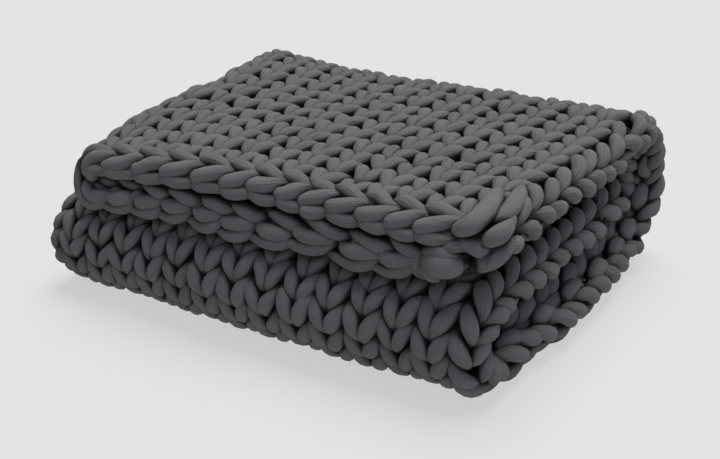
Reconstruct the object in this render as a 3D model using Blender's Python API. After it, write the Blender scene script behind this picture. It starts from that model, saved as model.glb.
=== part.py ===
"""A chunky hand-knitted weighted blanket, folded, at its real size in metres.

The blanket is one knitted sheet. It is doubled once about a fold that runs along the columns of stitches, at
the left, so that both side edges lie at the right. The doubled sheet is then folded in three along its length:
the flap on top, the bottom panel on the surface, and the middle panel tucked between them. The solid is that
sheet at the thickness of the knitting, bent along its folds, with a small gap between the layers.

Frame: +X along the front fold, towards the side edges; +Y from the front fold to the back fold; +Z up.
"""

import math

import bmesh
import bpy
import numpy as np

# The folded blanket.
WIDTH = 0.610  # along the front fold
DEPTH = 0.518  # front fold to back fold
LAYER = 0.0328  # thickness of the knitting
GAP = 0.0025  # between one layer and the next
FLAP_SETBACK = 0.027  # the flap's edge lies this far behind the front fold
MIDDLE_SHORT = 0.012  # the middle panel stops this far before the back fold's centre
INNER_EDGE_IN = 0.008  # the inner layer's side edge lies this far inside the outer layer's

# How far the left fold and the right side edges are set in from the full width, along the folded length.
EDGE_COLUMNS = ("place", "left_in", "right_in")
EDGE_TABLE = (
    ("flap edge", 0.044, 0.009),
    ("flap, a third back", 0.020, 0.007),
    ("flap, two thirds back", 0.038, 0.004),
    ("flap at back fold", 0.022, 0.000),
    ("back fold", 0.000, 0.000),
    ("bottom at back fold", 0.000, 0.004),
    ("bottom, a third forward", 0.000, -0.002),
    ("bottom, two thirds forward", 0.000, 0.002),
    ("bottom at front fold", -0.005, 0.017),
    ("front fold", -0.006, 0.022),
    ("middle at front fold", -0.003, 0.014),
    ("middle end", 0.004, 0.006),
)

# How the pile lies unevenly.
LEFT_DROOP = 0.085  # share of its height that the front left corner sinks
DROOP_WIDTH = 0.32  # how far in from the left the sinking reaches
DROOP_DEPTH = 0.29  # how far back from the front the sinking reaches
CORNER_RISE = 0.048  # share of their height that the back corners stand higher
CORNER_POWER = 4  # how sharply that grows towards the sides
RIPPLE = 0.014  # share of its height that the top waves up and down
RIPPLE_LENGTH = (0.34, 0.70)  # along X and along Y
RIPPLE_PHASE = (2.7, 3.6)  # along X and along Y, in radians
BACK_LEAN = 0.030  # how far the pile leans back for each metre of height
FRONT_FORWARD = 0.009  # how far the right half of the front fold lies ahead of its left end
FORWARD_FROM = (-0.20, -0.02)  # X between which it comes forward
FORWARD_DEPTH = 0.15  # how far back from the front this dies out
FRONT_FOLD_TOP = (0.5, 0.9)  # shares of the height between which it dies out too, below the flap
INNER_SAG = 0.011  # how far the inner layer's edge sags onto the front fold, under the flap
SAG_LENGTH = 0.050  # how far back from the flap's edge the sag dies out
FLAP_WAVE = 0.004  # how far the flap's edge waves forward and back
FLAP_WAVE_LENGTH = 0.29

# How finely the sheet is divided.
PANEL_ROWS = 12
FOLD_ROWS = 11
ACROSS_CELLS = 8
LEFT_FOLD_CELLS = 8
RIM_ANGLES = (20, 52, 90)  # degrees round the rounded edge of the sheet

# Sizes that follow from these.
HALF = LAYER / 2
DOUBLED = 2 * LAYER + GAP
PANEL_STEP = DOUBLED + GAP
FRONT_RADIUS = PANEL_STEP / 2
BACK_RADIUS = PANEL_STEP
LEFT_RADIUS = (LAYER + GAP) / 2
BOTTOM_Z = DOUBLED / 2
HEIGHT = 3 * DOUBLED + 2 * GAP
FRONT_Y = -DEPTH / 2 + FRONT_RADIUS + DOUBLED / 2
BACK_Y = DEPTH / 2 - BACK_RADIUS - DOUBLED / 2
FLAP_Y = -DEPTH / 2 + FLAP_SETBACK
MIDDLE_Y = BACK_Y - MIDDLE_SHORT

KNIT_COLOUR = (0.070, 0.070, 0.077, 1.0)
KNIT_ROUGHNESS = 0.85


def smooth_step(low, high, value):
    """Returns 0 below low, 1 above high, and a smooth change between them."""
    t = min(max((value - low) / (high - low), 0.0), 1.0)
    return t * t * (3 - 2 * t)


def straight(start_y, end_y, z, normal_z):
    """A level stretch of the folded path, as (y, z, normal y, normal z) at a share of its length."""
    return lambda share: (start_y + (end_y - start_y) * share, z, 0.0, normal_z)


def bend(centre_y, centre_z, radius, start_angle):
    """A half-turn of the folded path, clockwise seen from the right side."""

    def at(share):
        angle = start_angle - math.pi * share
        across, up = math.cos(angle), math.sin(angle)
        return centre_y + radius * across, centre_z + radius * up, across, up

    return at


def folded_path():
    """The middle of the doubled sheet, from the flap's edge to the middle panel's end.

    Returns:
        A list of (stretch, its rows, its length if straight, first and last row of EDGE_TABLE along it).
    """
    top_z = BOTTOM_Z + 2 * PANEL_STEP
    return [
        (straight(FLAP_Y, BACK_Y, top_z, 1.0), PANEL_ROWS, BACK_Y - FLAP_Y, (0, 3)),
        (bend(BACK_Y, BOTTOM_Z + PANEL_STEP, BACK_RADIUS, math.pi / 2), FOLD_ROWS, None, (3, 5)),
        (straight(BACK_Y, FRONT_Y, BOTTOM_Z, -1.0), PANEL_ROWS, BACK_Y - FRONT_Y, (5, 8)),
        (bend(FRONT_Y, BOTTOM_Z + FRONT_RADIUS, FRONT_RADIUS, -math.pi / 2), FOLD_ROWS, None, (8, 10)),
        (straight(FRONT_Y, MIDDLE_Y, BOTTOM_Z + PANEL_STEP, 1.0), PANEL_ROWS, MIDDLE_Y - FRONT_Y, (10, 11)),
    ]


def rim(reverse=False):
    """Steps round the sheet's rounded edge: (distance in from the edge, share of the thickness)."""
    steps = [(HALF * (1 - math.cos(math.radians(a))), math.sin(math.radians(a))) for a in RIM_ANGLES]
    return steps[::-1] if reverse else steps


def path_rows():
    """Every row of the sheet: (y, z, normal y, normal z, left set-in, right set-in, sag, share of thickness)."""
    left, right = ([row[EDGE_COLUMNS.index(name)] for row in EDGE_TABLE] for name in ("left_in", "right_in"))
    path = folded_path()
    rows = []
    for number, (stretch, count, length, places) in enumerate(path):
        steps = [(i / count, 1.0) for i in range(count)]
        if number == 0:
            steps = [(d / length, share) for d, share in rim()] + steps[1:]
        if number == len(path) - 1:
            steps += [(1 - d / length, share) for d, share in rim(reverse=True)]
        first, last = places
        at = np.linspace(0, 1, last - first + 1)
        for along, share in steps:
            set_in = [float(np.interp(along, at, side[first : last + 1])) for side in (left, right)]
            sag = INNER_SAG * max(1 - along * length / SAG_LENGTH, 0) ** 2 if number == 0 else 0.0
            rows.append((*stretch(along), *set_in, sag, share))
    return rows


def across_steps(left, right):
    """The doubled section at one row, from the outer layer's side edge round the left fold to the inner one's.

    Args:
        left: X of the left fold's outside.
        right: X of the outer layer's side edge.

    Returns:
        A list of (x, offset from the doubled sheet's middle, normal x, normal offset, share of thickness).
    """
    fold_x = left + LEFT_RADIUS + HALF
    steps = [(right - d, LEFT_RADIUS, 0.0, 1.0, share) for d, share in rim()]
    start = right - HALF
    for i in range(1, ACROSS_CELLS):
        steps.append((start + (fold_x - start) * i / ACROSS_CELLS, LEFT_RADIUS, 0.0, 1.0, 1.0))
    for i in range(LEFT_FOLD_CELLS + 1):
        angle = math.pi * i / LEFT_FOLD_CELLS
        out, up = -math.sin(angle), math.cos(angle)
        steps.append((fold_x + LEFT_RADIUS * out, LEFT_RADIUS * up, out, up, 1.0))
    inner_right = right - INNER_EDGE_IN
    end = inner_right - HALF
    for i in range(1, ACROSS_CELLS):
        steps.append((fold_x + (end - fold_x) * i / ACROSS_CELLS, -LEFT_RADIUS, 0.0, -1.0, 1.0))
    steps += [(inner_right - d, -LEFT_RADIUS, 0.0, -1.0, share) for d, share in rim(reverse=True)]
    return steps


def settle(x, y, z):
    """Moves a point of the true fold to where it lies in the uneven, settled pile. The underside stays flat."""
    at_left = 1 - smooth_step(-WIDTH / 2, -WIDTH / 2 + DROOP_WIDTH, x)
    at_front = 1 - smooth_step(-DEPTH / 2, -DEPTH / 2 + DROOP_DEPTH, y)
    at_corners = (2 * x / WIDTH) ** CORNER_POWER * smooth_step(0.0, DEPTH / 2 - BACK_RADIUS, y)
    waves = zip((x, y), RIPPLE_LENGTH, RIPPLE_PHASE)
    wave = math.prod(math.sin(2 * math.pi * place / length + phase) for place, length, phase in waves)
    height = z * (1 - LEFT_DROOP * at_left * at_front + CORNER_RISE * at_corners + RIPPLE * wave)
    low = 1 - smooth_step(FRONT_FOLD_TOP[0], FRONT_FOLD_TOP[1], z / HEIGHT)
    near_front = 1 - smooth_step(-DEPTH / 2, -DEPTH / 2 + FORWARD_DEPTH, y)
    forward = FRONT_FORWARD * near_front * low * smooth_step(*FORWARD_FROM, x)
    flap = (1 - low) * near_front * FLAP_WAVE * math.sin(2 * math.pi * x / FLAP_WAVE_LENGTH)
    return x, y + BACK_LEAN * z - forward + flap, height


def sheet_faces():
    """The points of both faces of the sheet, as an array [face, row, step, xyz]."""
    faces = []
    for side in (1, -1):
        grid = []
        for y, z, normal_y, normal_z, left_in, right_in, sag, row_share in path_rows():
            line = []
            for x, offset, normal_x, normal_up, share in across_steps(-WIDTH / 2 + left_in, WIDTH / 2 - right_in):
                lift = side * HALF * share * row_share
                out = offset + lift * normal_up - sag * (1 - normal_up) / 2
                line.append(settle(x + lift * normal_x, y + out * normal_y, z + out * normal_z))
            grid.append(line)
        faces.append(grid)
    points = np.array(faces)
    low, high = points.min(axis=(0, 1, 2)), points.max(axis=(0, 1, 2))
    points -= [(low[0] + high[0]) / 2, (low[1] + high[1]) / 2, low[2]]
    return points


def build_sheet(name):
    """Builds the sheet as one closed mesh: both faces, and the band round its free edges."""
    points = sheet_faces()
    _, rows, steps, _ = points.shape
    shape = bmesh.new()
    grid = [[[shape.verts.new(p) for p in line] for line in face] for face in points]
    outer, inner = grid
    for i in range(rows - 1):
        for j in range(steps - 1):
            shape.faces.new((outer[i][j], outer[i][j + 1], outer[i + 1][j + 1], outer[i + 1][j]))
            shape.faces.new((inner[i][j], inner[i + 1][j], inner[i + 1][j + 1], inner[i][j + 1]))
    border = [(0, j) for j in range(steps)]
    border += [(i, steps - 1) for i in range(1, rows)]
    border += [(rows - 1, j) for j in range(steps - 2, -1, -1)]
    border += [(i, 0) for i in range(rows - 2, 0, -1)]
    for (a, b), (c, d) in zip(border, border[1:] + border[:1]):
        shape.faces.new((outer[a][b], inner[a][b], inner[c][d], outer[c][d]))
    bmesh.ops.triangulate(shape, faces=shape.faces[:])
    bmesh.ops.recalc_face_normals(shape, faces=shape.faces[:])
    mesh = bpy.data.meshes.new(name)
    shape.to_mesh(mesh)
    shape.free()
    return mesh


def knit_material():
    """The dark grey jersey yarn."""
    material = bpy.data.materials.new("charcoal_jersey")
    material.use_nodes = True
    shader = material.node_tree.nodes["Principled BSDF"]
    shader.inputs["Base Color"].default_value = KNIT_COLOUR
    shader.inputs["Roughness"].default_value = KNIT_ROUGHNESS
    shader.inputs["Metallic"].default_value = 0.0
    return material


def main():
    """Clears the scene and builds the blanket."""
    for item in list(bpy.data.objects):
        bpy.data.objects.remove(item, do_unlink=True)
    blanket = bpy.data.objects.new("knit_blanket", build_sheet("knit_blanket"))
    blanket.data.materials.append(knit_material())
    bpy.context.scene.collection.objects.link(blanket)


main()
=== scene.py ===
"""The looks of a chunky hand-knitted weighted blanket, doubled and folded in three.

The blanket is one thick strand: a stuffed tube of jersey cotton, knitted row by row. Here the strand is
laid stitch by stitch on the folded sheet of the CAD model, as a soft tube that is plump along the legs of
each stitch and pinched where strands cross. Places on the sheet are counted in stitches across and rows
along. Other sizes are in metres.
"""

import logging
import math
from dataclasses import dataclass, field
from enum import Enum, IntEnum
from typing import Any

import bpy
import numpy as np
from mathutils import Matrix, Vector


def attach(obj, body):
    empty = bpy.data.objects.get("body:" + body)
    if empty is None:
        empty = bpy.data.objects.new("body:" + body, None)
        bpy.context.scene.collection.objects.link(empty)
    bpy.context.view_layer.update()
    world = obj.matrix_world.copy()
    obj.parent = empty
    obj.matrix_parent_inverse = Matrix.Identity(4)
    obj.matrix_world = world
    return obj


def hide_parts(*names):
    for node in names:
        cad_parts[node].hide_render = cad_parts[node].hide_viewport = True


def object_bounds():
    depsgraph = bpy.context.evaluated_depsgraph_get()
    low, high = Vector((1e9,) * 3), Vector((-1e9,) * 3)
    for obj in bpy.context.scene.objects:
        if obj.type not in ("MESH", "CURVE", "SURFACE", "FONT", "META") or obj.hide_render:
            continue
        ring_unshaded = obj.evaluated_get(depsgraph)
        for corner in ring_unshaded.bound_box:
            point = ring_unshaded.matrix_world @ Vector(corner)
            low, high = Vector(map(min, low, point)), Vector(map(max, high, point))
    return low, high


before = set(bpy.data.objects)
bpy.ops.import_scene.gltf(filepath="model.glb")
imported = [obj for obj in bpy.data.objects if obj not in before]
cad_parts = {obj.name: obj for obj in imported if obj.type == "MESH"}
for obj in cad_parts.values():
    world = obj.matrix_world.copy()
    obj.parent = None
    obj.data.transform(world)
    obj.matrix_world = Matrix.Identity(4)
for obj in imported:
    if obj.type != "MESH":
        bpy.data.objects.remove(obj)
CAD_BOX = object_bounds()

Array = np.ndarray
LOG = logging.getLogger("blanket")
NODE = "knit_blanket"
SHORTEST = 1e-12


def smooth_step(low: float, high: float, value: Array) -> Array:
    """Gives 0 below low, 1 above high, and a smooth change between them."""
    t = np.clip((value - low) / (high - low), 0.0, 1.0)
    return t * t * (3 - 2 * t)


def unit(vectors: Array) -> Array:
    """Scales each row of an array to length 1."""
    return vectors / np.maximum(np.linalg.norm(vectors, axis=-1, keepdims=True), SHORTEST)


# ---------------------------------------------------------------------------------------------------------
# The folded sheet
# ---------------------------------------------------------------------------------------------------------


class Stretch(IntEnum):
    """The stretches of the folded path, from the flap's edge on."""

    FLAP = 0
    BACK_FOLD = 1
    BOTTOM = 2
    FRONT_FOLD = 3
    MIDDLE = 4


@dataclass(frozen=True)
class FoldedSheet:
    """The middle surface of the knitting: doubled at the left, then folded in three, as in the CAD part."""

    # The pile and its layers.
    width: float = 0.610
    depth: float = 0.518
    layer: float = 0.0328
    gap: float = 0.0025
    flap_setback: float = 0.027
    middle_short: float = 0.012
    inner_edge_in: float = 0.008
    # How it has settled. Heights change by shares of themselves: less at the front left, in waves all over,
    # and more at the two back corners.
    left_droop: float = 0.085
    droop_width: float = 0.32
    droop_depth: float = 0.29
    ripple: float = 0.014
    ripple_length: tuple[float, float] = (0.34, 0.70)
    ripple_phase: tuple[float, float] = (2.7, 3.6)
    corner_rise: float = 0.048
    corner_power: int = 4
    # The pile leans back as it rises. The right half of the front fold comes forward, and the flap's edge
    # waves. The flap begins between two heights, given as shares of the pile's.
    back_lean: float = 0.030
    front_forward: float = 0.009
    forward_from: tuple[float, float] = (-0.20, -0.02)
    forward_depth: float = 0.15
    flap_from: tuple[float, float] = (0.5, 0.9)
    flap_wave: float = 0.004
    flap_wave_length: float = 0.29
    # The inner layer's edge sags onto the front fold.
    inner_sag: float = 0.011
    sag_length: float = 0.050
    # How many parts each stretch is divided into, for the tables that follow, and how far the left fold and
    # the right edges are set in, from the flap's edge to the middle panel's end.
    parts: tuple[int, ...] = (3, 2, 3, 2, 1)
    left_in: tuple[float, ...] = (
        0.044, 0.020, 0.038,
        0.022, 0.0,
        0.0, 0.0, 0.0,
        -0.005, -0.006,
        -0.003, 0.004,
    )
    right_in: tuple[float, ...] = (
        0.009, 0.007, 0.004,
        0.0, 0.0,
        0.004, -0.002, 0.002,
        0.017, 0.022,
        0.014, 0.006,
    )
    # The knitting on it: its stitches, those on the outer layer right of the left fold, those round that
    # fold, the rows on each stretch, and how far in from the sheet's its ends and side edges lie.
    stitches: int = 32
    outer_stitches: tuple[float, ...] = (
        14.8, 14.7, 14.7,
        14.6, 14.3,
        14.1, 14.0, 14.0,
        13.9, 13.9,
        14.0, 14.4,
    )
    fold_stitches: float = 2.2
    panel_rows: tuple[float, ...] = (10.5, 9.0, 9.7, 6.5, 9.3)
    end_in: float = 0.014
    edge_in: float = 0.006
    # How the side edges roll, on the outer layer and on the inner one.
    roll_radius: tuple[float, float] = (0.0160, 0.020)
    roll_angle: tuple[float, float] = (math.radians(125), math.radians(50))
    inner_roll_in: float = 0.010

    @property
    def step(self) -> float:
        """Height from one doubled panel to the next."""
        return 2 * (self.layer + self.gap)

    @property
    def bottom_z(self) -> float:
        """Height of the middle of the bottom panel."""
        return self.layer + self.gap / 2

    @property
    def height(self) -> float:
        """Height of the folded pile."""
        return 6 * self.layer + 5 * self.gap

    @property
    def left_radius(self) -> float:
        """Radius of the left fold, at the middle of the knitting."""
        return (self.layer + self.gap) / 2

    @property
    def flap_y(self) -> float:
        """Y of the flap's edge."""
        return -self.depth / 2 + self.flap_setback

    @property
    def back_y(self) -> float:
        """Y of the back fold's centre."""
        return self.depth / 2 - self.step - self.bottom_z

    @property
    def front_y(self) -> float:
        """Y of the front fold's centre."""
        return -self.depth / 2 + self.step / 2 + self.bottom_z

    @property
    def ends(self) -> Array:
        """Distances along the folded path at which its stretches start, and at which the last one ends.

        Returns:
            The distances, in the order of Stretch.
        """
        flap = self.back_y - self.flap_y
        bottom = self.back_y - self.front_y
        middle = self.back_y - self.middle_short - self.front_y
        lengths = [flap, math.pi * self.step, bottom, math.pi * self.step / 2, middle]
        return np.concatenate([[0.0], np.cumsum(lengths)])

    @property
    def rows(self) -> int:
        """Rows of stitches from the flap's edge to the middle panel's end."""
        return round(sum(self.panel_rows))

    def path_place(self, along: Array) -> Array:
        """Turns rows along the sheet into distances along the folded path, past its ends too.

        Args:
            along: Rows from the flap's edge.

        Returns:
            The distances.
        """
        ends = self.ends
        ends[0] += self.end_in
        ends[-1] -= self.end_in
        knots = np.concatenate([[0.0], np.cumsum(self.panel_rows)])
        first = (ends[1] - ends[0]) / (knots[1] - knots[0])
        last = (ends[-1] - ends[-2]) / (knots[-1] - knots[-2])
        inside = np.interp(along, knots, ends)
        return inside + np.minimum(along, 0) * first + np.maximum(along - knots[-1], 0) * last

    def path(self, distance: Array) -> tuple[Array, Array, Array, Array]:
        """The folded path.

        Args:
            distance: Distance along it from the flap's edge.

        Returns:
            Y and Z of the path, and Y and Z of its outward normal.
        """
        ends = self.ends
        stretch = np.clip(np.searchsorted(ends, distance, side="right") - 1, 0, len(Stretch) - 1)
        past = distance - ends[stretch]
        on = [stretch == kind for kind in Stretch]
        folds = [on[Stretch.BACK_FOLD], on[Stretch.FRONT_FOLD]]
        radius = np.select(folds, [self.step, self.step / 2], 1.0)
        start = np.select(folds, [math.pi / 2, -math.pi / 2], 0.0)
        angle = start - past / radius
        across, up, level = np.cos(angle), np.sin(angle), np.zeros_like(past)
        top_z = self.bottom_z + 2 * self.step
        middle_z = self.bottom_z + self.step
        y = np.select(
            on,
            [
                self.flap_y + past,
                self.back_y + self.step * across,
                self.back_y - past,
                self.front_y + self.step / 2 * across,
                self.front_y + past,
            ],
        )
        z = np.select(
            on,
            [
                level + top_z,
                middle_z + self.step * up,
                level + self.bottom_z,
                self.bottom_z + self.step / 2 + self.step / 2 * up,
                level + middle_z,
            ],
        )
        normal_y = np.select(on, [level, across, level, across, level])
        normal_z = np.select(on, [level + 1, up, level - 1, up, level + 1])
        return y, z, normal_y, normal_z

    def sides(self, distance: Array) -> tuple[Array, Array, Array]:
        """Where the doubled sheet's two sides lie.

        Args:
            distance: Distance along the folded path.

        Returns:
            X of the left fold's outside, X of the right edge, and the outer layer's stitches between them.
        """
        ends = self.ends
        spans = zip(ends[:-1], ends[1:], self.parts)
        places = [np.linspace(start, end, count, endpoint=False) for start, end, count in spans]
        places = np.concatenate([*places, ends[-1:]])
        left = -self.width / 2 + np.interp(distance, places, self.left_in)
        right = self.width / 2 - np.interp(distance, places, self.right_in)
        return left, right, np.interp(distance, places, self.outer_stitches)

    def section(
        self, across: Array, left: Array, right: Array, outer: Array
    ) -> tuple[Array, Array, Array, Array]:
        """The doubled section, from the outer layer's side edge round the left fold to the inner layer's.

        Args:
            across: Stitches from the outer layer's side edge.
            left: X of the left fold's outside.
            right: X of the outer layer's right edge.
            outer: Stitches on the outer layer.

        Returns:
            X, offset from the doubled sheet's middle, and X and offset of the outward normal.
        """
        radius = self.left_radius
        fold_x = left + radius + self.layer / 2
        inner = across > outer + self.fold_stitches
        curl = np.where(inner, self.roll_radius[1], self.roll_radius[0])
        roll = curl * np.where(inner, self.roll_angle[1], self.roll_angle[0])
        on_fold = (across >= outer) & ~inner
        flat = np.where(inner, self.stitches - self.fold_stitches - outer, outer)
        edge = right - self.edge_in - np.where(inner, self.inner_edge_in + self.inner_roll_in, 0.0)
        length = edge - curl - fold_x + roll
        from_edge = np.where(inner, self.stitches - across, across) / flat * length
        turned = np.maximum(roll - from_edge, 0.0) / curl
        flat_x = edge - curl + np.minimum(roll - from_edge, 0.0)
        x = flat_x + curl * np.sin(turned)
        offset = radius - curl * (1 - np.cos(turned))
        side = np.where(inner, -1.0, 1.0)
        angle = math.pi * (across - outer) / self.fold_stitches
        out_x = np.where(on_fold, -np.sin(angle), np.sin(turned))
        out_up = np.where(on_fold, np.cos(angle), side * np.cos(turned))
        x = np.where(on_fold, fold_x - radius * np.sin(angle), x)
        offset = np.where(on_fold, radius * np.cos(angle), side * offset)
        return x, offset, out_x, out_up

    def settle(self, points: Array) -> Array:
        """Moves points of the true fold to where they lie in the uneven, settled pile.

        Args:
            points: The points, one a row.

        Returns:
            The moved points.
        """
        x, y, z = points.T
        at_left = 1 - smooth_step(-self.width / 2, -self.width / 2 + self.droop_width, x)
        at_front = 1 - smooth_step(-self.depth / 2, self.droop_depth - self.depth / 2, y)
        wave = np.sin(2 * math.pi * x / self.ripple_length[0] + self.ripple_phase[0])
        wave = wave * np.sin(2 * math.pi * y / self.ripple_length[1] + self.ripple_phase[1])
        at_back = smooth_step(0.0, self.depth / 2 - self.step, y)
        at_corners = (2 * x / self.width) ** self.corner_power * at_back
        rise = 1 - self.left_droop * at_left * at_front + self.ripple * wave + self.corner_rise * at_corners
        low = 1 - smooth_step(self.flap_from[0] * self.height, self.flap_from[1] * self.height, z)
        near_front = 1 - smooth_step(-self.depth / 2, -self.depth / 2 + self.forward_depth, y)
        forward = self.front_forward * near_front * low * smooth_step(*self.forward_from, x)
        flap = (1 - low) * near_front * self.flap_wave * np.sin(2 * math.pi * x / self.flap_wave_length)
        return np.stack([x, y + self.back_lean * z - forward + flap, z * rise], axis=1)

    def place(self, across: Array, along: Array, out: Array) -> Array:
        """Turns places on the knitting into points.

        Args:
            across: Stitches from the outer layer's side edge.
            along: Rows from the flap's edge.
            out: Metres out from the middle of the knitting, towards its face.

        Returns:
            The points, one a row.
        """
        distance = self.path_place(along)
        y, z, normal_y, normal_z = self.path(distance)
        x, offset, out_x, out_up = self.section(across, *self.sides(distance))
        sag = self.inner_sag * np.maximum(1 - distance / self.sag_length, 0) ** 2
        offset = offset + out * out_up - sag * (1 - out_up) / 2
        points = np.stack([x + out * out_x, y + offset * normal_y, z + offset * normal_z], axis=1)
        return self.settle(points) + self.shift()

    def shift(self) -> Array:
        """How far the CAD part's origin, under the middle of its box, lies from the true fold's.

        Returns:
            The shift in X, Y and Z.
        """
        low, high = (np.array(corner) for corner in CAD_BOX)
        back = self.depth / 2 + self.back_lean * (self.bottom_z + self.step)
        return np.array([low[0] + self.width / 2 - min(self.left_in), high[1] - back, 0.0])


# ---------------------------------------------------------------------------------------------------------
# The strand
# ---------------------------------------------------------------------------------------------------------


@dataclass(frozen=True)
class Yarn:
    """The stuffed jersey tube that the blanket is knitted from."""

    thickness: float = 0.0195
    # Its section: the share of its thickness left where it is pressed flat, and how square it is, as a power.
    flatness: float = 0.92
    squareness: float = 2.4
    # Its mesh: sides round it, metres between its rings, curve points from knot to knot, how far a closed tip
    # stands out, in radii, and a way that the first ring is turned square to.
    sides: int = 12
    fine_step: float = 0.0056
    coarse_step: float = 0.0130
    curve_points: int = 6
    tip: float = 0.6
    first_way: tuple[float, float, float] = (0.3, 0.5, 0.8)
    # It is squeezed tight at the first plumpness and not at all at the second.
    squeezed: tuple[float, float] = (0.50, 1.10)
    # Shade is painted on it in the crevices, which it comes out of between these thicknesses out, and
    # between these plumpnesses.
    painted_shade_heights: tuple[float, float] = (0.10, 0.50)
    painted_shade_plumpness: tuple[float, float] = (0.36, 0.66)
    floor_gap: float = 0.0005

    @property
    def girth(self) -> float:
        """Length once round it."""
        return math.pi * self.thickness

    def radius(self, plumpness: Array) -> Array:
        """Its radius where it has a given plumpness."""
        return plumpness * self.thickness / 2

    def pinch(self, plumpness: Array) -> Array:
        """How tightly it is squeezed, from 0 to 1, where it has a given plumpness."""
        return 1 - smooth_step(*self.squeezed, plumpness)

    def curve(self, knots: Array) -> Array:
        """A smooth Catmull-Rom curve through knots.

        Args:
            knots: The knots, one a row. Their columns may hold anything that varies along the strand.

        Returns:
            The curve's points, with the same columns.
        """
        ends = np.vstack([2 * knots[0] - knots[1], knots, 2 * knots[-1] - knots[-2]])
        t = np.linspace(0, 1, self.curve_points, endpoint=False)[None, :, None]
        a, b, c, d = (ends[k : len(ends) - 3 + k, None, :] for k in range(4))
        square, cube = 2 * a - 5 * b + 4 * c - d, 3 * b - a - 3 * c + d
        spans = 0.5 * (2 * b + (c - a) * t + square * t**2 + cube * t**3)
        return np.vstack([spans.reshape(-1, knots.shape[1]), knots[-1:]])

    def frames(self, points: Array) -> tuple[Array, Array, Array]:
        """Directions along and round the strand, without twist.

        Args:
            points: Points along its middle.

        Returns:
            The direction forward at each point, and two directions square to it and to each other.
        """
        forward = unit(np.gradient(points, axis=0))
        start = np.cross(forward[0], self.first_way)
        up = np.empty_like(points)
        up[0] = start / np.linalg.norm(start)
        for i in range(1, len(points)):
            turned = up[i - 1] - forward[i] * (up[i - 1] @ forward[i])
            up[i] = turned / np.linalg.norm(turned)
        return forward, up, np.cross(forward, up)

    def rings(self, centre: Array, radius: Array, normal: Array) -> tuple[Array, Array]:
        """The strand's outline at each point, a little squared and pressed flat.

        Args:
            centre: Points along the strand's middle.
            radius: Its radius at each point.
            normal: The direction in which it is pressed flat at each point.

        Returns:
            The way from each point to its ring's points, and the direction forward at each point.
        """
        forward, up, side = self.frames(centre)
        angle = 2 * math.pi * np.arange(self.sides) / self.sides
        ring = np.cos(angle)[None, :, None] * up[:, None] + np.sin(angle)[None, :, None] * side[:, None]
        lean = (forward * normal).sum(-1)[:, None, None]
        face = unit(normal - forward * (forward * normal).sum(-1, keepdims=True))[:, None]
        rise = (ring * face).sum(-1, keepdims=True)
        power = self.squareness
        bulge = (np.abs(rise) ** power + (1 - rise**2).clip(0) ** (power / 2)) ** (-1 / power)
        ring = ring * (1 + (bulge - 1) * (1 - lean**2))
        press = (ring * normal[:, None]).sum(-1, keepdims=True) * (1 - self.flatness)
        return (ring - press * normal[:, None]) * radius[:, None, None], forward


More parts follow.
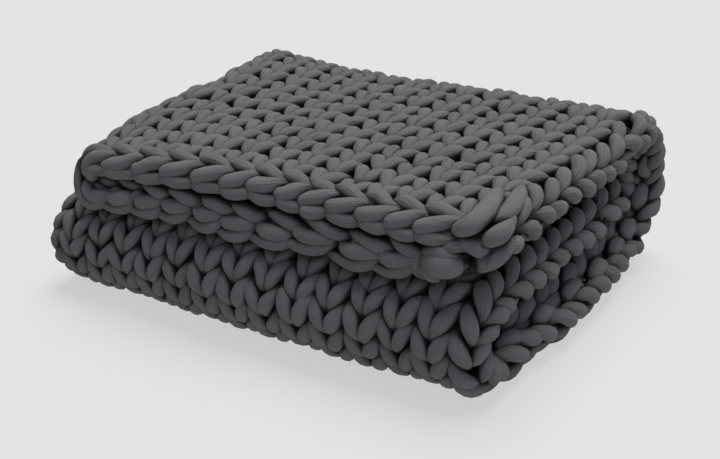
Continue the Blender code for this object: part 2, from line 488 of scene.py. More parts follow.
@dataclass
class TubeMesh:
    """Collects strands as tubes and makes one mesh of them."""

    name: str
    yarn: Yarn
    # How far out of the painted shade of the creases, and how tightly squeezed, the two tips of a length are.
    tip_shade_and_squeeze: float = 0.5
    # The unrolled strand: spare metres after each length, and the margin of its rows as a share of a row.
    spare: float = 0.05
    margin: float = 0.03
    points: list[Array] = field(default_factory=list)
    faces: list[Array] = field(default_factory=list)
    uvs: list[Array] = field(default_factory=list)
    # At each point: how little shade is painted on it, and how tightly it is squeezed.
    unshaded_values: list[Array] = field(default_factory=list)
    pinches: list[Array] = field(default_factory=list)
    count: int = 0
    length: float = 0.0

    def add(self, centre: Array, plump: Array, normal: Array, out: Array) -> None:
        """Adds one tube with rounded, closed tips, and the shade painted in its creases.

        Args:
            centre: Points along the strand's middle.
            plump: Its plumpness at each point.
            normal: The direction in which it is pressed flat at each point.
            out: How far out from the middle of the knitting each point lies, in metres, as counted for the
                painted shade.
        """
        yarn, radius = self.yarn, self.yarn.radius(plump)
        rings, forward = yarn.rings(centre, radius, normal)
        # Shade is painted where a ring lies deep between strands and where the strand is tucked thin.
        height = (out[:, None] + (rings * normal[:, None]).sum(-1)) / yarn.thickness
        ring_unshaded = smooth_step(*yarn.painted_shade_heights, height) * smooth_step(*yarn.painted_shade_plumpness, plump)[:, None]
        tips = [centre[end] + way * forward[end] * radius[end] * yarn.tip for end, way in ((0, -1), (-1, 1))]
        walk = np.cumsum(np.linalg.norm(np.diff(centre, axis=0), axis=1))
        run = np.concatenate([[0.0], walk]) + self.length
        self.unshaded_values.append(np.append(ring_unshaded.ravel(), [self.tip_shade_and_squeeze] * 2))
        self.pinches.append(np.append(np.repeat(yarn.pinch(plump), yarn.sides), [self.tip_shade_and_squeeze] * 2))
        self.points.append(np.vstack([(centre[:, None] + rings).reshape(-1, 3), tips]))
        self.faces.append(self.skin(len(centre)))
        self.uvs.append(self.unrolled(run))
        self.count += len(centre) * yarn.sides + 2
        self.length = run[-1] + self.spare

    def skin(self, rings: int) -> Array:
        """The faces of the next tube.

        Args:
            rings: How many rings it has.

        Returns:
            Four corners a face: the walls, the start and the end. A tip's triangle has its last one twice.
        """
        sides = self.yarn.sides
        i, j = np.meshgrid(np.arange(rings - 1), np.arange(sides), indexing="ij")
        k = (j + 1) % sides
        walls = np.stack([i * sides + j, i * sides + k, (i + 1) * sides + k, (i + 1) * sides + j], -1)
        here, last = np.arange(sides), (rings - 1) * sides
        ahead = (here + 1) % sides
        first_tip = np.full(sides, rings * sides)
        start = np.stack([ahead, here, first_tip, first_tip], -1)
        end = np.stack([last + here, last + ahead, first_tip + 1, first_tip + 1], -1)
        return np.vstack([walls.reshape(-1, 4), start, end]) + self.count

    def unrolled(self, run: Array) -> Array:
        """Lays a tube's faces out flat.

        Args:
            run: Distance along the strand of each of its rings.

        Returns:
            Metres along and round the strand for the four corners of each face, in the order of skin.
        """
        sides, girth = self.yarn.sides, self.yarn.girth
        near = np.arange(sides) / sides * girth
        far = near + girth / sides
        u = np.repeat(run[:-1], sides), np.repeat(run[1:], sides)
        v = np.tile(near, len(run) - 1), np.tile(far, len(run) - 1)
        walls = np.stack([u[0], v[0], u[0], v[1], u[1], v[1], u[1], v[0]], -1)
        first, last = np.full(sides, run[0]), np.full(sides, run[-1])
        start = np.stack([first, far] + [first, near] * 3, -1)
        end = np.stack([last, near, last, far] + [last, near] * 2, -1)
        return np.vstack([walls, start, end])

    def stacked(self, uvs: Array) -> Array:
        """Cuts the unrolled strand into rows and stacks them in a square, without overlaps.

        Args:
            uvs: Metres along and round the strand, for each face's corners.

        Returns:
            The places in the square.
        """
        girth = self.yarn.girth
        start = uvs[:, :, 0].min(axis=1)
        rows = max(1, round(math.sqrt((self.length + girth) / girth)))
        row_length = self.length / rows
        row = np.floor(start / row_length)
        along = (uvs[:, :, 0] - (row * row_length)[:, None]) / (row_length + 2 * self.yarn.coarse_step)
        up = (row[:, None] + self.margin + (1 - 2 * self.margin) * uvs[:, :, 1] / girth) / (rows + 1)
        return np.stack([along, up], axis=-1)

    def build(self) -> bpy.types.Object:
        """Makes the object, with its two UV maps and its two attributes: the painted shade and the squeeze.

        Returns:
            The object.
        """
        points, faces, uvs = np.vstack(self.points), np.vstack(self.faces), np.vstack(self.uvs)
        points[:, 2] = np.maximum(points[:, 2], self.yarn.floor_gap)
        triangle = faces[:, 2] == faces[:, 3]
        total = np.where(triangle, 3, 4)
        keep = np.ones(faces.shape, bool)
        keep[triangle, 3] = False
        mesh = bpy.data.meshes.new(self.name)
        mesh.vertices.add(len(points))
        mesh.vertices.foreach_set("co", points.astype(np.float32).ravel())
        mesh.loops.add(int(total.sum()))
        mesh.loops.foreach_set("vertex_index", faces[keep].astype(np.int32))
        mesh.polygons.add(len(faces))
        mesh.polygons.foreach_set("loop_start", (np.cumsum(total) - total).astype(np.int32))
        mesh.polygons.foreach_set("loop_total", total.astype(np.int32))
        uvs = uvs.reshape(-1, 4, 2)
        for name, layout in (("strand", uvs), ("OFBake", self.stacked(uvs))):
            layer = mesh.uv_layers.new(name=name)
            layer.uv.foreach_set("vector", layout[keep].astype(np.float32).ravel())
        # The first attribute carries the painted shade; the second, the squeeze that the wrinkles follow.
        for name, values in (("open", self.unshaded_values), ("pinch", self.pinches)):
            attribute = mesh.attributes.new(name, "FLOAT", "POINT")
            attribute.data.foreach_set("value", np.concatenate(values).astype(np.float32))
        mesh.update(calc_edges=True)
        mesh.shade_smooth()
        piece = bpy.data.objects.new(self.name, mesh)
        bpy.context.scene.collection.objects.link(piece)
        return piece


# ---------------------------------------------------------------------------------------------------------
# The knitting
# ---------------------------------------------------------------------------------------------------------

# Half a stitch, from the sinker that joins it to its neighbour at the back, in at the V's tip, up its leg on
# the face, and round to its head at the back: stitches across, rows along, thicknesses out, and plumpness.
HALF_STITCH = (
    (-0.50, -0.92, -0.50, 0.80),
    (-0.30, -1.04, -0.46, 0.62),
    (-0.12, -1.02, -0.32, 0.44),
    (-0.05, -0.84, -0.04, 0.40),
    (-0.09, -0.52, 0.24, 0.64),
    (-0.20, -0.12, 0.38, 0.92),
    (-0.33, 0.26, 0.30, 0.90),
    (-0.42, 0.58, 0.04, 0.68),
    (-0.37, 0.86, -0.24, 0.48),
    (-0.18, 1.02, -0.42, 0.56),
    (0.00, 1.05, -0.50, 0.70),
)

# The strand's turn round a side edge, from one row's last sinker to the next row's first, at the edge that
# the stitches are counted from.
EDGE_TURN = (
    (0.02, -0.96, -0.34, 0.90),
    (-0.14, -0.66, -0.12, 1.00),
    (-0.18, -0.30, 0.00, 1.06),
    (-0.12, 0.02, -0.14, 1.00),
    (0.04, 0.16, -0.34, 0.90),
)

# One loop of the chain along the flap's edge: loops along, stitches from the near leg to the far one,
# thicknesses out, and plumpness.
CHAIN_LOOP = (
    (-0.60, -0.02, -0.24, 0.50),
    (-0.42, 0.03, 0.00, 0.66),
    (-0.08, 0.11, 0.14, 0.80),
    (0.30, 0.20, 0.20, 0.84),
    (0.62, 0.24, 0.12, 0.68),
    (0.80, 0.18, -0.18, 0.48),
    (0.80, -0.02, -0.36, 0.62),
    (0.72, -0.27, -0.12, 0.84),
    (0.48, -0.31, 0.10, 1.02),
    (0.12, -0.21, 0.20, 1.00),
    (-0.24, -0.04, 0.16, 0.80),
    (-0.56, 0.06, -0.06, 0.48),
    (-0.60, -0.14, -0.40, 0.50),
    (-0.30, -0.40, -0.32, 0.72),
    (0.08, -0.50, -0.24, 0.90),
    (0.44, -0.49, -0.20, 0.92),
    (0.66, -0.38, -0.36, 0.70),
    (0.54, -0.10, -0.46, 0.62),
)

# One loop of the chain on the inner layer, whose face is turned down: loops along, then thicknesses forward
# and up, and plumpness. A crescent lies lowest, a short lump above it and a slim lens above that.
INNER_LOOP = (
    (-0.80, 0.04, -0.50, 0.40),
    (-0.50, 0.26, -0.62, 0.62),
    (-0.08, 0.40, -0.66, 0.82),
    (0.28, 0.38, -0.48, 0.88),
    (0.52, 0.14, -0.22, 0.68),
    (0.62, -0.14, -0.06, 0.56),
    (0.56, 0.12, 0.06, 0.72),
    (0.32, 0.38, 0.12, 0.98),
    (0.02, 0.44, 0.06, 1.06),
    (-0.24, 0.30, 0.02, 0.88),
    (-0.38, 0.00, 0.04, 0.64),
    (-0.36, -0.24, 0.34, 0.50),
    (-0.16, -0.02, 0.66, 0.60),
    (0.08, 0.28, 0.78, 0.84),
    (0.40, 0.36, 0.66, 0.94),
    (0.70, 0.22, 0.42, 0.80),
    (0.86, -0.10, 0.20, 0.54),
    (0.46, -0.50, -0.10, 0.50),
)

# Where the chain's loops lie, in stitches from the outer layer's side edge: those on the outer layer, then
# those on the inner one, and how high each inner one is lifted, in thicknesses.
OUTER_LOOPS = (2.13, 3.07, 3.98, 5.07, 6.09, 6.94, 7.88, 8.83, 9.78, 11.0, 12.2, 13.5, 14.8)
INNER_LOOPS = (16.7, 18.05, 19.4, 20.7, 22.15, 23.3, 24.75, 26.2, 28.05, 29.35)
INNER_LIFT = (0.05, 0.15, 0.22, 0.25, 0.15, 0.0, 0.1, 0.4, 0.25, 0.3)

# The knots of an inner loop that make its lens, and how far back each lens is sunk, in thicknesses.
LENS = slice(10, 17)
INNER_SINK = (0.6, 0.45, 0.15, 0.0, 0.0, 0.1, 0.1, 0.0, 0.0, 0.1)

# Short lengths of the strand at the flap's two corners: X, Y and Z in metres, and plumpness. At the right are
# the chain's last loop, laid over the outer layer's corner, what lies beside and beneath it, and the crumpled
# knot in which the end is fastened. One length closes the left corner from inside.
CORNER_STRANDS = {
    "last loop": (
        (0.2454, -0.2220, 0.1896, 0.55),
        (0.2588, -0.2360, 0.1976, 0.86),
        (0.2692, -0.2356, 0.2040, 1.04),
        (0.2732, -0.2222, 0.2085, 1.12),
        (0.2713, -0.2005, 0.2100, 1.10),
        (0.2645, -0.1721, 0.2085, 1.00),
        (0.2527, -0.1369, 0.2030, 0.60),
    ),
    "beside the last loop": (
        (0.2822, -0.2108, 0.2000, 0.50),
        (0.2863, -0.2017, 0.2040, 0.82),
        (0.2865, -0.1813, 0.2065, 0.96),
        (0.2813, -0.1529, 0.2065, 0.98),
        (0.2698, -0.1168, 0.2020, 0.60),
    ),
    "lens at the side edge": (
        (0.2754, -0.2220, 0.1812, 0.50),
        (0.2889, -0.2310, 0.1919, 0.90),
        (0.2968, -0.2280, 0.1979, 1.00),
        (0.2994, -0.2180, 0.2011, 0.80),
        (0.2976, -0.2050, 0.2013, 0.50),
    ),
    "beneath the last loop": (
        (0.2300, -0.2150, 0.1727, 0.40),
        (0.2477, -0.2280, 0.1804, 0.60),
        (0.2638, -0.2340, 0.1831, 0.80),
        (0.2781, -0.2320, 0.1792, 0.98),
        (0.2845, -0.2220, 0.1715, 0.96),
        (0.2849, -0.2060, 0.1632, 0.60),
    ),
    "knot, small lobe": (
        (0.2202, -0.2240, 0.1639, 0.50),
        (0.2154, -0.2320, 0.1615, 0.62),
        (0.2121, -0.2360, 0.1534, 0.80),
        (0.2124, -0.2340, 0.1427, 0.82),
        (0.2168, -0.2270, 0.1342, 0.60),
    ),
    "knot, top fold": (
        (0.2078, -0.2240, 0.1544, 0.50),
        (0.2216, -0.2330, 0.1633, 0.72),
        (0.2359, -0.2390, 0.1689, 0.86),
        (0.2487, -0.2400, 0.1679, 0.86),
        (0.2557, -0.2340, 0.1629, 0.66),
    ),
    "knot, main lobe": (
        (0.2146, -0.2280, 0.1520, 0.70),
        (0.2268, -0.2360, 0.1558, 1.12),
        (0.2396, -0.2410, 0.1564, 1.40),
        (0.2517, -0.2410, 0.1582, 1.30),
        (0.2591, -0.2360, 0.1591, 0.96),
    ),
    "knot, bottom fold": (
        (0.2124, -0.2280, 0.1481, 0.56),
        (0.2225, -0.2360, 0.1470, 0.90),
        (0.2310, -0.2390, 0.1447, 1.00),
        (0.2373, -0.2360, 0.1429, 0.80),
    ),
    "knot, thin strand": (
        (0.2291, -0.2300, 0.1628, 0.46),
        (0.2453, -0.2380, 0.1739, 0.62),
        (0.2583, -0.2380, 0.1802, 0.68),
        (0.2664, -0.2300, 0.1779, 0.50),
    ),
    "behind the knot": (
        (0.2976, -0.2030, 0.1845, 0.50),
        (0.2975, -0.2160, 0.1776, 0.86),
        (0.2929, -0.2260, 0.1707, 0.96),
        (0.2845, -0.2280, 0.1631, 0.84),
        (0.2726, -0.2180, 0.1508, 0.50),
    ),
    "inside the left corner": (
        (-0.2703, -0.2030, 0.1522, 0.50),
        (-0.2649, -0.2050, 0.1409, 0.86),
        (-0.2554, -0.2060, 0.1313, 0.92),
        (-0.2425, -0.2030, 0.1264, 0.60),
    ),
}


class Panel(Enum):
    """The pieces that the rows are made as, from the flap's edge on."""

    FLAP_FRONT = "flap_front_rows"
    FLAP_BACK = "flap_back_rows"
    BACK_FOLD_UPPER = "back_fold_upper_rows"
    BACK_FOLD_LOWER = "back_fold_lower_rows"
    BOTTOM = "bottom_rows"
    FRONT_FOLD = "front_fold_rows"
    MIDDLE = "middle_rows"


@dataclass
class Knitting:
    """Lays the rows of stitches on the folded sheet."""

    sheet: FoldedSheet
    yarn: Yarn
    seed: int = 7
    turn_seed: int = 19
    # Spreads of the unevenness, in stitches, rows, thicknesses and plumpness: of each knot, of each turn at a
    # side edge, and of each whole stitch, whose plumpness varies by a share. A row's first and last stitches
    # are moved by this share more.
    jitter: tuple[float, float, float, float] = (0.018, 0.025, 0.03, 0.03)
    turn_jitter: tuple[float, float, float, float] = (0.04, 0.08, 0.06, 0.12)
    stitch_jitter: tuple[float, float, float] = (0.028, 0.055, 0.045)
    plump_jitter: float = 0.04
    edge_wildness: float = 0.7
    # Round the left fold the strand is drawn thinner by this share, within about so many stitches. It starts
    # at the first of these rows and is full from the second on.
    drawn: float = 0.20
    drawn_stitches: float = 4.5
    drawn_rows: tuple[float, float] = (10.0, 20.0)
    # The strand is cut from one piece to the next this many stitches from the inner layer's side edge.
    hidden_cut: float = 5.5
    # The chain: its row, thicknesses out and tilt, how many rows further forward its inner loops lie, and how
    # much longer its first loop starts. The short lengths at the corners are pressed flat from this way.
    chain_row: float = -0.25
    chain_out: float = 0.12
    chain_tilt: float = math.radians(36)
    inner_forward: float = 0.14
    first_loop: float = 1.6
    corner_facing: tuple[float, float, float] = (0.2, -0.9, 0.4)
    # Shade is painted in the creases by how far out a strand lies. One that nothing covers counts as this
    # many thicknesses out. One at a side edge counts as this many more, which fades between these stitches
    # from the edge. The rows begin to cover each other between these rows.
    bare_lift: float = 1.0
    edge_lift: float = 0.5
    edge_reach: tuple[float, float] = (0.3, 1.1)
    bare_rows: tuple[float, float] = (-0.2, 0.5)
    # A tube's rings: the fewest, and the step out and in from which the way that it faces is measured.
    fewest_rings: int = 4
    facing_step: float = 0.001
    # Rings are fine where the knitting shows and this many rows beyond, this many rows at the flap's edge,
    # this many stitches in from the side edges, and this many before and past the end of the left fold.
    fine_rows: float = 1.0
    fine_end: float = 0.5
    fine_sides: float = 2.0
    fine_fold: tuple[float, float] = (2.5, 0.5)
    rng: np.random.Generator = field(init=False)
    turn_rng: np.random.Generator = field(init=False)

    def __post_init__(self) -> None:
        """Starts the seeded random numbers."""
        self.rng = np.random.default_rng(self.seed)
        self.turn_rng = np.random.default_rng(self.turn_seed)

    def stitch(self) -> Array:
        """One whole stitch: its left half, then its right half mirrored."""
        half = np.array(HALF_STITCH)
        return np.vstack([half, (half * [-1, 1, 1, 1])[-2:0:-1]])

    def row_knots(self, row: int) -> Array:
        """The strand's knots along one row, without the sinkers at its two ends.

        Args:
            row: The row's number from the flap's edge.

        Returns:
            Stitches across, rows along, thicknesses out and plumpness, one knot a line.
        """
        count = self.sheet.stitches
        middles = np.arange(count) + 0.5
        knots = np.repeat(self.stitch()[None], count, axis=0)
        knots += self.rng.normal(0, 1, knots.shape) * self.jitter
        at_edge = (middles < 1) | (middles > count - 1)
        loose = 1 + self.edge_wildness * at_edge[:, None, None]
        knots[:, :, :3] += self.rng.normal(0, 1, (count, 1, 3)) * self.stitch_jitter * loose
        knots[:, :, 3] *= self.rng.normal(1, self.plump_jitter, (count, 1))
        knots[:, :, 3] *= 1 - self.slimness(middles, row)[:, None]
        knots[:, :, 0] += middles[:, None]
        knots[:, :, 1] += row + 0.5
        return knots.reshape(-1, 4)[1:]

    def slimness(self, across: Array, row: int) -> Array:
        """How much slimmer the strand is drawn near the left fold.

        Args:
            across: Stitches from the outer layer's side edge.
            row: The row's number from the flap's edge.

        Returns:
            The share of its thickness that it loses.
        """
        fold = self.sheet.outer_stitches[0] + self.sheet.fold_stitches / 2
        near = np.exp(-(((across - fold) / self.drawn_stitches) ** 2))
        return self.drawn * near * smooth_step(*self.drawn_rows, row)

    def turn_knots(self, row: int) -> Array:
        """The knots of the turn from one row to the next, at the edge where odd or even rows end.

        Args:
            row: The number of the row that ends.

        Returns:
            The knots, as for a row.
        """
        turn = np.array(EDGE_TURN) + self.rng.normal(0, 1, (len(EDGE_TURN), 4)) * self.jitter
        turn += self.turn_rng.normal(0, 1, 4) * self.turn_jitter
        turn[:, 1] += row + 0.5
        if row % 2:
            turn[:, 0] = self.sheet.stitches - turn[:, 0]
        return turn

    def strand(self) -> tuple[Array, Array]:
        """The whole strand's knots, back and forth along the rows.

        Returns:
            The knots, and the number of the knot in each row at which the strand may be cut out of sight.
        """
        knots, cuts, count = [], [], 0
        for row in range(self.sheet.rows):
            line = self.row_knots(row)
            hidden = np.argmin(np.abs(line[:, 0] - (self.sheet.stitches - self.hidden_cut)))
            if row % 2 == 0:
                line = line[::-1]
                hidden = len(line) - 1 - hidden
            cuts.append(count + hidden)
            part = np.vstack([line, self.turn_knots(row)]) if row < self.sheet.rows - 1 else line
            knots.append(part)
            count += len(part)
        return np.vstack(knots), np.array(cuts)

    def chain_knots(self) -> Array:
        """The knots of the chain along the flap's edge.

        Returns:
            Stitches across, rows along, thicknesses out and plumpness, one knot a line.
        """
        sheet, thickness = self.sheet, self.yarn.thickness
        row = sheet.ends[Stretch.BACK_FOLD] / sheet.panel_rows[Stretch.FLAP]
        wale = sheet.width / sheet.outer_stitches[0] / thickness
        cos, sin = math.cos(self.chain_tilt), math.sin(self.chain_tilt)
        places = np.array(OUTER_LOOPS + INNER_LOOPS)
        widths = np.gradient(places)
        knots = []
        for loop, (place, width) in enumerate(zip(places, widths)):
            outside = loop < len(OUTER_LOOPS)
            table = np.array(CHAIN_LOOP if outside else INNER_LOOP)
            table += self.rng.normal(0, 1, table.shape) * self.jitter
            along, side, out, plump = table.T
            if loop == 0:
                along = along * np.where(along < 0, self.first_loop, 1.0)
            along = along * width + place
            if outside:
                rows = (side * wale * cos - out * sin) * thickness / row
                out = self.chain_out + side * wale * sin + out * cos
            else:
                inner = loop - len(OUTER_LOOPS)
                side[LENS] -= INNER_SINK[inner]
                rows = -side * thickness / row - self.inner_forward
                out = -out - INNER_LIFT[inner]
            knots.append(np.stack([along, self.chain_row + rows, out, plump], axis=1))
        return np.vstack(knots)

    def lay_chain(self, mesh: TubeMesh) -> None:
        """Lays the chain along the flap's edge, and the separate lengths at its corners.

        Args:
            mesh: The mesh that they are added to.
        """
        self.tube(mesh, self.yarn.curve(self.chain_knots()), bare=True)
        for strand in CORNER_STRANDS.values():
            line = self.yarn.curve(np.array(strand))
            facing = np.tile(unit(np.array(self.corner_facing)), (len(line), 1))
            # The corner lengths count as bare, so little shade is painted on them.
            out = np.full(len(line), self.bare_lift * self.yarn.thickness)
            mesh.add(line[:, :3], line[:, 3], facing, out)

    def tube(self, mesh: TubeMesh, line: Array, bare: bool = False) -> None:
        """Lays a smooth line of the strand on the sheet and adds it to a mesh.

        Args:
            mesh: The mesh.
            line: Stitches across, rows along, thicknesses out and plumpness, one point a line.
            bare: True where no knitting hides the strand.
        """
        points = self.sheet.place(line[:, 0], line[:, 1], line[:, 2] * self.yarn.thickness)
        gaps = np.linalg.norm(np.diff(points, axis=0), axis=1)
        marks = np.concatenate([[0.0], np.cumsum(gaps / self.ring_step(line[1:, 0], line[1:, 1]))])
        wanted = np.linspace(0, marks[-1], max(self.fewest_rings, round(marks[-1])))
        line = np.stack([np.interp(wanted, marks, column) for column in line.T], axis=1)
        points = np.stack([np.interp(wanted, marks, column) for column in points.T], axis=1)
        across, along, out, plump = line.T
        out = out * self.yarn.thickness
        above = self.sheet.place(across, along, out + self.facing_step)
        below = self.sheet.place(across, along, out - self.facing_step)
        # The out below only sets the painted shade of the creases: bare strands and side edges count as
        # further out.
        at_edge = 1 - smooth_step(*self.edge_reach, np.minimum(across, self.sheet.stitches - across))
        covered = 0.0 if bare else smooth_step(*self.bare_rows, along)
        out = (out + at_edge * self.edge_lift * self.yarn.thickness) * covered
        out = out + self.bare_lift * self.yarn.thickness * (1 - covered)
        mesh.add(points, plump, unit(above - below), out)

    def ring_step(self, across: Array, along: Array) -> Array:
        """How far apart the tube's rings lie: fine where the knitting shows, coarse inside the pile.

        Args:
            across: Stitches from the outer layer's side edge.
            along: Rows from the flap's edge.

        Returns:
            The distances.
        """
        rows = np.concatenate([[0.0], np.cumsum(self.sheet.panel_rows)])
        fold = max(self.sheet.outer_stitches) + self.sheet.fold_stitches
        bottom = rows[Stretch.BOTTOM] + self.fine_rows, rows[Stretch.FRONT_FOLD] - self.fine_rows
        beneath = (along > bottom[0]) & (along < bottom[1])
        face = (across < fold) & (along < rows[Stretch.MIDDLE] + self.fine_rows) & ~beneath
        side = (across < self.fine_sides) | (across > self.sheet.stitches - self.fine_sides)
        at_fold = (across > fold - self.fine_fold[0]) & (across < fold + self.fine_fold[1])
        fine = face | side | at_fold | (along < self.fine_end)
        return np.where(fine, self.yarn.fine_step, self.yarn.coarse_step)

    def build(self) -> list[bpy.types.Object]:
        """Builds the rows, a panel to a piece, and the chain.

        Returns:
            The pieces.
        """
        knots, cuts = self.strand()
        flap, back = self.sheet.panel_rows[:2]
        ends = np.round([flap / 2, flap, flap + back / 2, *np.cumsum(self.sheet.panel_rows)[1:]]).astype(int)
        line = self.yarn.curve(knots)
        pieces, start = [], 0
        for panel, end in zip(Panel, ends):
            stop = cuts[end] * self.yarn.curve_points if end < len(cuts) else len(line) - 1
            mesh = TubeMesh(panel.value, self.yarn)
            self.tube(mesh, line[start : stop + 1])
            pieces.append(mesh.build())
            start = stop
        mesh = TubeMesh("edge_chain", self.yarn)
        self.lay_chain(mesh)
        pieces.append(mesh.build())
        return pieces


# ---------------------------------------------------------------------------------------------------------
# Finishes and studio
# ---------------------------------------------------------------------------------------------------------


class Sum(Enum):
    """The sums that Math nodes do."""

    ADD = "ADD"
    SUBTRACT = "SUBTRACT"
    MULTIPLY = "MULTIPLY"
    SINE = "SINE"
    COSINE = "COSINE"
    ABSOLUTE = "ABSOLUTE"


@dataclass
class Number:
    """A number in a material's nodes; arithmetic with it adds Math nodes."""

    tree: bpy.types.NodeTree
    socket: bpy.types.NodeSocket

    def math(self, kind: Sum, *values: Any, swap: bool = False) -> "Number":
        """Adds a Math node.

        Args:
            kind: The node's sum.
            values: The other numbers.
            swap: True puts this number last.

        Returns:
            The result.
        """
        node = self.tree.nodes.new("ShaderNodeMath")
        node.operation = kind.value
        terms = (*values, self) if swap else (self, *values)
        for socket, value in zip(node.inputs, terms):
            if isinstance(value, Number):
                self.tree.links.new(value.socket, socket)
            else:
                socket.default_value = value
        return Number(self.tree, node.outputs[0])

    def __add__(self, other: Any) -> "Number":
        """Adds."""
        return self.math(Sum.ADD, other)

    def __radd__(self, other: Any) -> "Number":
        """Adds, from the right."""
        return self.math(Sum.ADD, other)

    def __sub__(self, other: Any) -> "Number":
        """Subtracts."""
        return self.math(Sum.SUBTRACT, other)

    def __rsub__(self, other: Any) -> "Number":
        """Subtracts this from another."""
        return self.math(Sum.SUBTRACT, other, swap=True)

    def __mul__(self, other: Any) -> "Number":
        """Multiplies."""
        return self.math(Sum.MULTIPLY, other)

    def __rmul__(self, other: Any) -> "Number":
        """Multiplies, from the right."""
        return self.math(Sum.MULTIPLY, other)

    def sin(self) -> "Number":
        """Its sine."""
        return self.math(Sum.SINE)

    def cos(self) -> "Number":
        """Its cosine."""
        return self.math(Sum.COSINE)

    def abs(self) -> "Number":
        """Its size without its sign."""
        return self.math(Sum.ABSOLUTE)


@dataclass
class Graph:
    """The nodes of one material."""

    tree: bpy.types.NodeTree
    noise_roughness: float = 0.55

    def feed(self, node: bpy.types.Node, inputs: dict[str, Any]) -> None:
        """Sets or links a node's inputs.

        Args:
            node: The node.
            inputs: Numbers, sockets or constants by input name.
        """
        for name, value in inputs.items():
            if isinstance(value, Number):
                value = value.socket
            if isinstance(value, bpy.types.NodeSocket):
                self.tree.links.new(value, node.inputs[name])
            else:
                node.inputs[name].default_value = value

    def node(self, kind: str, settings: dict[str, Any], inputs: dict[str, Any]) -> bpy.types.Node:
        """Adds a node.

        Args:
            kind: Its type.
            settings: Its settings by name.
            inputs: Numbers, sockets or constants by input name.

        Returns:
            The node.
        """
        node = self.tree.nodes.new(kind)
        for name, value in settings.items():
            setattr(node, name, value)
        self.feed(node, inputs)
        return node

    def number(self, node: bpy.types.Node, output: str) -> Number:
        """Wraps a node's output."""
        return Number(self.tree, node.outputs[output])

    def attribute(self, name: str) -> Number:
        """A number that the piece's mesh carries."""
        return self.number(self.node("ShaderNodeAttribute", {"attribute_name": name}, {}), "Fac")

    def noise(self, vector: bpy.types.NodeSocket, scale: float, detail: float) -> Number:
        """Smooth noise between 0 and 1."""
        inputs = {"Vector": vector, "Scale": scale, "Detail": detail, "Roughness": self.noise_roughness}
        return self.number(self.node("ShaderNodeTexNoise", {"noise_dimensions": "3D"}, inputs), "Fac")


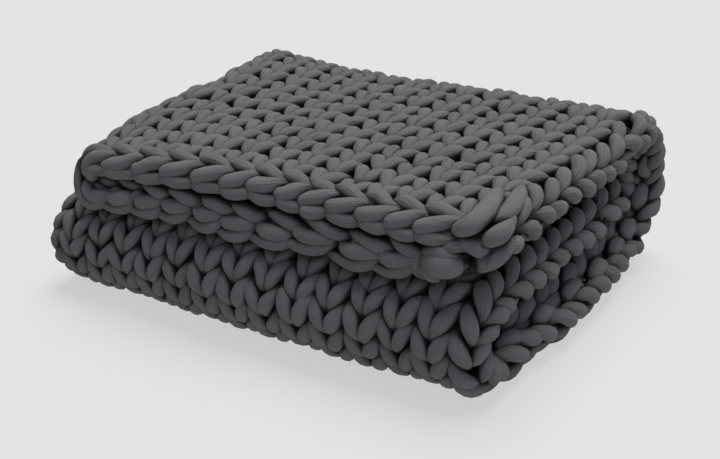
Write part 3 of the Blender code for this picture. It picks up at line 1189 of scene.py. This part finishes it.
@dataclass(frozen=True)
class JerseyFinish:
    """The dark charcoal jersey of the stuffed yarn, with its ribs and small wrinkles, and painted shade in
    its creases.
    """

    yarn: Yarn
    colour: tuple[float, float, float] = (0.128, 0.124, 0.132)
    # The near-black that shade is painted towards, deep in the creases.
    painted_shade_colour: tuple[float, float, float] = (0.010, 0.010, 0.013)
    # Shade is painted where a place is deep in a hollow, where only the first share of the way out, within
    # this reach, is clear, and fades until it is out of the hollow from the second share on.
    painted_shade_reach: float = 0.014
    painted_shade_samples: int = 12
    painted_shade_range: tuple[float, float] = (0.30, 0.88)
    # How light the jersey is: everywhere, and what its patches and fine mottle add.
    light: float = 0.72
    patch_light: float = 0.30
    patch_scale: float = 14.0
    mottle_light: float = 0.30
    mottle_scale: float = 520.0
    noise_detail: float = 2.0
    roughness: float = 0.80
    mottle_roughness: float = 0.16
    specular: float = 0.25
    sheen: float = 0.03
    sheen_roughness: float = 0.6
    # The knit of the jersey itself: ribs round the tube, and courses along it with a share of their relief.
    rib_count: int = 44
    rib_height: float = 0.00030
    course: float = 0.0011
    course_share: float = 0.4
    # Sharp wrinkles and soft folds along the tube, and the share of their relief left where it is plump.
    wrinkle_length: float = 0.030
    wrinkle_width: float = 0.0046
    wrinkle_height: float = 0.0100
    wrinkle_detail: float = 2.0
    wrinkle_loose: float = 0.15
    fold_length: float = 0.020
    fold_width: float = 0.010
    fold_height: float = 0.0050
    fold_detail: float = 1.0
    fold_loose: float = 0.3

    def build(self) -> bpy.types.Material:
        """Makes the material.

        Returns:
            The material.
        """
        material = bpy.data.materials.new("charcoal_jersey")
        material.use_nodes = True
        graph = Graph(material.node_tree)
        place = graph.node("ShaderNodeTexCoord", {}, {}).outputs["Object"]
        mottle = graph.noise(place, self.mottle_scale, self.noise_detail)
        patch = graph.noise(place, self.patch_scale, self.noise_detail)
        lightness = self.light + self.patch_light * patch + self.mottle_light * (mottle - 0.5)
        # Shade is painted into the colour: the crease shade and the occlusion shade, times the random tone.
        shade = graph.attribute("open") * self.hollow_shade(graph) * lightness
        colour_with_painted_shade = {"Factor": shade, "A": (*self.painted_shade_colour, 1.0), "B": (*self.colour, 1.0)}
        inputs = {
            "Base Color": graph.node("ShaderNodeMix", {"data_type": "RGBA"}, colour_with_painted_shade).outputs["Result"],
            "Roughness": self.roughness + self.mottle_roughness * mottle,
            "Normal": self.relief(graph),
            "Specular IOR Level": self.specular,
            "Sheen Weight": self.sheen,
            "Sheen Roughness": self.sheen_roughness,
        }
        graph.feed(material.node_tree.nodes["Principled BSDF"], inputs)
        return material

    def hollow_shade(self, graph: Graph) -> Number:
        """The painted shade of the creases: how clear a place is between its strand and the next ones.

        Args:
            graph: The material's nodes.

        Returns:
            From 0, painted darkest, deep in a hollow to 1, not painted, out of it.
        """
        settings = {"samples": self.painted_shade_samples}
        # Painted shade: occlusion within a short reach darkens the colour in the creases.
        occlusion = graph.node("ShaderNodeAmbientOcclusion", settings, {"Distance": self.painted_shade_reach})
        low, high = self.painted_shade_range
        inputs = {"Value": occlusion.outputs["AO"], "From Min": low, "From Max": high}
        ramp = graph.node("ShaderNodeMapRange", {"interpolation_type": "SMOOTHSTEP"}, inputs)
        return graph.number(ramp, "Result")

    def relief(self, graph: Graph) -> bpy.types.NodeSocket:
        """The ribs and courses of the jersey, and its wrinkles and folds.

        Args:
            graph: The material's nodes.

        Returns:
            The normal.
        """
        strand = graph.node("ShaderNodeUVMap", {"uv_map": "strand"}, {})
        parts = graph.node("ShaderNodeSeparateXYZ", {}, {"Vector": strand.outputs["UV"]})
        run, angle = graph.number(parts, "X"), graph.number(parts, "Y") * (2 / self.yarn.thickness)
        pinch = graph.attribute("pinch")
        wrinkle = self.along_strand(
            graph, run, angle, self.wrinkle_length, self.wrinkle_width, self.wrinkle_detail
        )
        fold = self.along_strand(graph, run, angle, self.fold_length, self.fold_width, self.fold_detail)
        rib = (angle * (self.rib_count / 2)).sin().abs()
        course = (run * (2 * math.pi / self.course) + rib * math.pi).sin()
        height = (rib + self.course_share * course) * self.rib_height
        squeezed = pinch * (1 - self.wrinkle_loose) + self.wrinkle_loose
        height = height + (wrinkle - 0.5).abs() * squeezed * self.wrinkle_height
        squeezed = pinch * (1 - self.fold_loose) + self.fold_loose
        height = height + fold * squeezed * self.fold_height
        inputs = {"Height": height, "Distance": 1.0, "Strength": 1.0}
        return graph.node("ShaderNodeBump", {}, inputs).outputs["Normal"]

    def along_strand(
        self, graph: Graph, run: Number, angle: Number, length: float, width: float, detail: float
    ) -> Number:
        """Noise drawn out along the strand, without a seam.

        Args:
            graph: The material's nodes.
            run: Distance along the strand.
            angle: Angle round it.
            length: The noise's length along the strand.
            width: Its width round it.
            detail: Its detail.

        Returns:
            The noise, between 0 and 1.
        """
        reach = self.yarn.thickness / 2 / width
        inputs = {"X": run * (1 / length), "Y": angle.cos() * reach, "Z": angle.sin() * reach}
        vector = graph.node("ShaderNodeCombineXYZ", {}, inputs)
        return graph.noise(vector.outputs["Vector"], 1.0, detail)


def direction(azimuth: float, elevation: float) -> Vector:
    """A direction from the blanket.

    Args:
        azimuth: Its turn from the front towards the right, in degrees.
        elevation: Its height, in degrees.

    Returns:
        The direction, of length 1.
    """
    azimuth, elevation = math.radians(azimuth), math.radians(elevation)
    across = math.cos(elevation)
    return Vector((math.sin(azimuth) * across, -math.cos(azimuth) * across, math.sin(elevation)))


@dataclass(frozen=True)
class SoftSun:
    """A broad, soft light far away. Its width and the two angles of its place are in degrees."""

    name: str
    strength: float
    width: float
    azimuth: float
    elevation: float
    colour: tuple[float, float, float]

    def build(self) -> None:
        """Makes the light."""
        data = bpy.data.lights.new(self.name, "SUN")
        data.energy = self.strength
        data.color = self.colour
        data.angle = math.radians(self.width)
        lamp = bpy.data.objects.new(self.name, data)
        bpy.context.scene.collection.objects.link(lamp)
        lamp.rotation_euler = direction(self.azimuth, self.elevation).to_track_quat("Z", "Y").to_euler()


@dataclass(frozen=True)
class Studio:
    """The pale floor, the soft lights and the camera."""

    # The camera: its direction from the blanket in degrees, its distance, what it looks at, and its lens and
    # sensor in millimetres.
    azimuth: float = 31.14
    elevation: float = 23.15
    distance: float = 1.547
    aim: tuple[float, float, float] = (0.0004, 0.0014, 0.0531)
    lens: float = 60.585
    sensor: float = 36.0
    floor_size: float = 40.0
    floor_colour: float = 0.13
    floor_roughness: float = 0.9
    floor_glow: float = 0.565
    sky: float = 0.22
    sky_colour: tuple[float, float, float] = (0.93, 0.98, 1.12)
    overhead: SoftSun = SoftSun("overhead", 4.2, 40.0, 184.0, 74.0, (1.02, 1.0, 0.965))
    fill: SoftSun = SoftSun("fill", 1.05, 80.0, 52.0, 18.0, (0.96, 0.97, 1.05))

    def build(self) -> None:
        """Makes the floor, lights, world and camera."""
        self.floor()
        self.sky_light()
        self.overhead.build()
        self.fill.build()
        self.camera()
        bpy.context.scene.view_settings.view_transform = "Standard"

    def floor(self) -> None:
        """A plain pale floor."""
        bpy.ops.mesh.primitive_plane_add(size=self.floor_size, location=(0, 0, 0))
        floor = bpy.context.object
        floor.name = "floor"
        material = bpy.data.materials.new("pale_floor")
        material.use_nodes = True
        inputs = {
            "Base Color": (*[self.floor_colour] * 3, 1),
            "Roughness": self.floor_roughness,
            "Specular IOR Level": 0.0,
            "Emission Color": (1, 1, 1, 1),
            "Emission Strength": self.floor_glow,
        }
        Graph(material.node_tree).feed(material.node_tree.nodes["Principled BSDF"], inputs)
        floor.data.materials.append(material)

    def sky_light(self) -> None:
        """Soft light from all round."""
        world = bpy.data.worlds.new("studio")
        bpy.context.scene.world = world
        world.use_nodes = True
        inputs = {"Color": (*self.sky_colour, 1), "Strength": self.sky}
        Graph(world.node_tree).feed(world.node_tree.nodes["Background"], inputs)

    def camera(self) -> None:
        """The camera, at a three-quarter view from above."""
        back = direction(self.azimuth, self.elevation)
        data = bpy.data.cameras.new("camera")
        data.sensor_width = self.sensor
        data.lens = self.lens
        camera = bpy.data.objects.new("camera", data)
        bpy.context.scene.collection.objects.link(camera)
        camera.location = Vector(self.aim) + back * self.distance
        camera.rotation_euler = (-back).to_track_quat("-Z", "Y").to_euler()
        bpy.context.scene.camera = camera


def main() -> None:
    """Builds the studio and the blanket."""
    logging.basicConfig(level=logging.INFO, format="%(name)s: %(message)s")
    Studio().build()
    yarn = Yarn()
    jersey = JerseyFinish(yarn).build()
    total = 0
    for piece in Knitting(FoldedSheet(), yarn).build():
        piece.data.materials.append(jersey)
        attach(piece, "root")
        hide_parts(NODE)
        triangles = sum(len(face.vertices) - 2 for face in piece.data.polygons)
        total += triangles
        LOG.info("%s: %d triangles", piece.name, triangles)
    LOG.info("in all: %d triangles", total)


if __name__ == "__main__":
    main()
